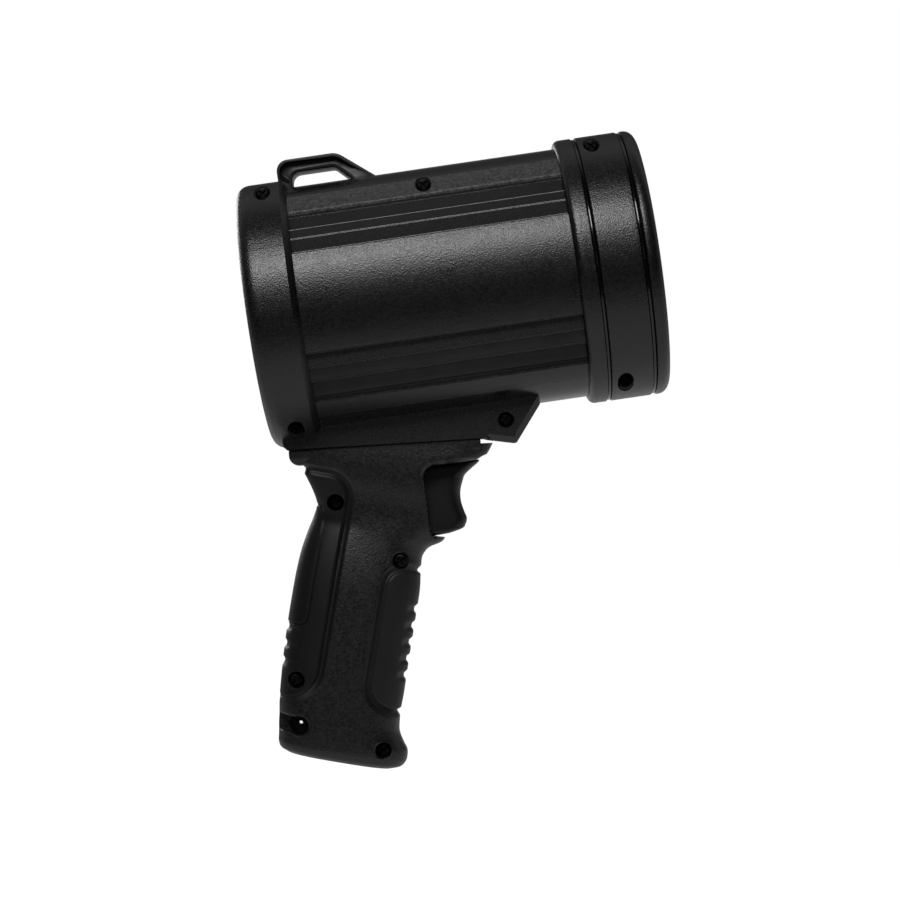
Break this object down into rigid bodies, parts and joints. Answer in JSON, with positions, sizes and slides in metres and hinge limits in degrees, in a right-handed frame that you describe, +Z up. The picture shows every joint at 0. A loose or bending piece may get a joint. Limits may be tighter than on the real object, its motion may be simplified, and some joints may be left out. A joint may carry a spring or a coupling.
{
  "type": "handheld searchlight",
  "caption": "Black handheld searchlight with a round stepped barrel, rear carry loop, clamshell pistol grip with rubber pads and a sprung trigger that works a push switch.",
  "frame": {"origin": "middle of the hand grip, on the object's middle plane", "axes": "+X along the beam, +Z up, the pictured right side towards -Y"},
  "size_m": [0.1741, 0.1056, 0.2458],
  "materials": {
    "housing_plastic": "black, spark-textured moulding",
    "loop_plastic": "black, satin moulding",
    "cover_plastic": "black, fine-textured moulding",
    "seal_rubber": "black moulded rubber",
    "gloss_seal": "black, glossy rubber",
    "lens_glass": "clear",
    "reflector_mirror": "bright mirror",
    "bulb_glass": "clear",
    "holder_ceramic": "off-white ceramic",
    "cell_cans": "sleeved metal cans",
    "inner_plastic": "grey moulding",
    "contact_brass": "stamped strip",
    "grip_plastic": "black, fine-textured moulding",
    "pad_rubber": "black, satin rubber",
    "trigger_plastic": "black, satin moulding",
    "spring_steel": "drawn wire",
    "switch_plastic": "red-brown moulding",
    "lead_sheath": "red sheath",
    "black_steel": "black oxide",
    "plated_steel": "zinc plated"
  },
  "bodies": {
    "case": {"right_housing": "housing_plastic", "left_housing": "housing_plastic", "carry_loop": "loop_plastic", "rear_cover": "cover_plastic", "rear_gasket": "seal_rubber", "front_lens": "lens_glass", "lens_gasket": "seal_rubber", "bead_seal": "gloss_seal", "lip_seal": "gloss_seal", "reflector": "reflector_mirror", "lamp_bulb": "bulb_glass", "lamp_holder": "holder_ceramic", "battery_cells": "cell_cans", "battery_rear_plate": "inner_plastic", "battery_front_plate": "inner_plastic", "terminal_strips": "contact_brass", "right_grip": "grip_plastic", "left_grip": "grip_plastic", "rear_overlay": "pad_rubber", "palm_pad": "pad_rubber", "front_pad": "pad_rubber", "trigger_spring": "spring_steel", "switch_body": "switch_plastic", "switch_leads": "lead_sheath", "housing_screws": "black_steel", "grip_screws": "black_steel", "saddle_screws": "plated_steel"},
    "trigger": {"trigger": "trigger_plastic"},
    "plunger": {"switch_plunger": "switch_plastic"}
  },
  "joints": [
    {"name": "trigger_pull", "type": "slide", "parent": "case", "child": "trigger", "axis": [-1, 0, 0], "range_m": [0, 0.006], "stiffness_N_per_m": 400, "springref_m": -0.004, "deforming": ["trigger_spring"]},
    {"name": "plunger_slide", "type": "slide", "parent": "case", "child": "plunger", "axis": [-1, 0, 0], "range_m": [0, 0.006]}
  ],
  "couplings": [
    {"joint": "plunger_slide", "follows": "trigger_pull", "ratio": 1}
  ]
}
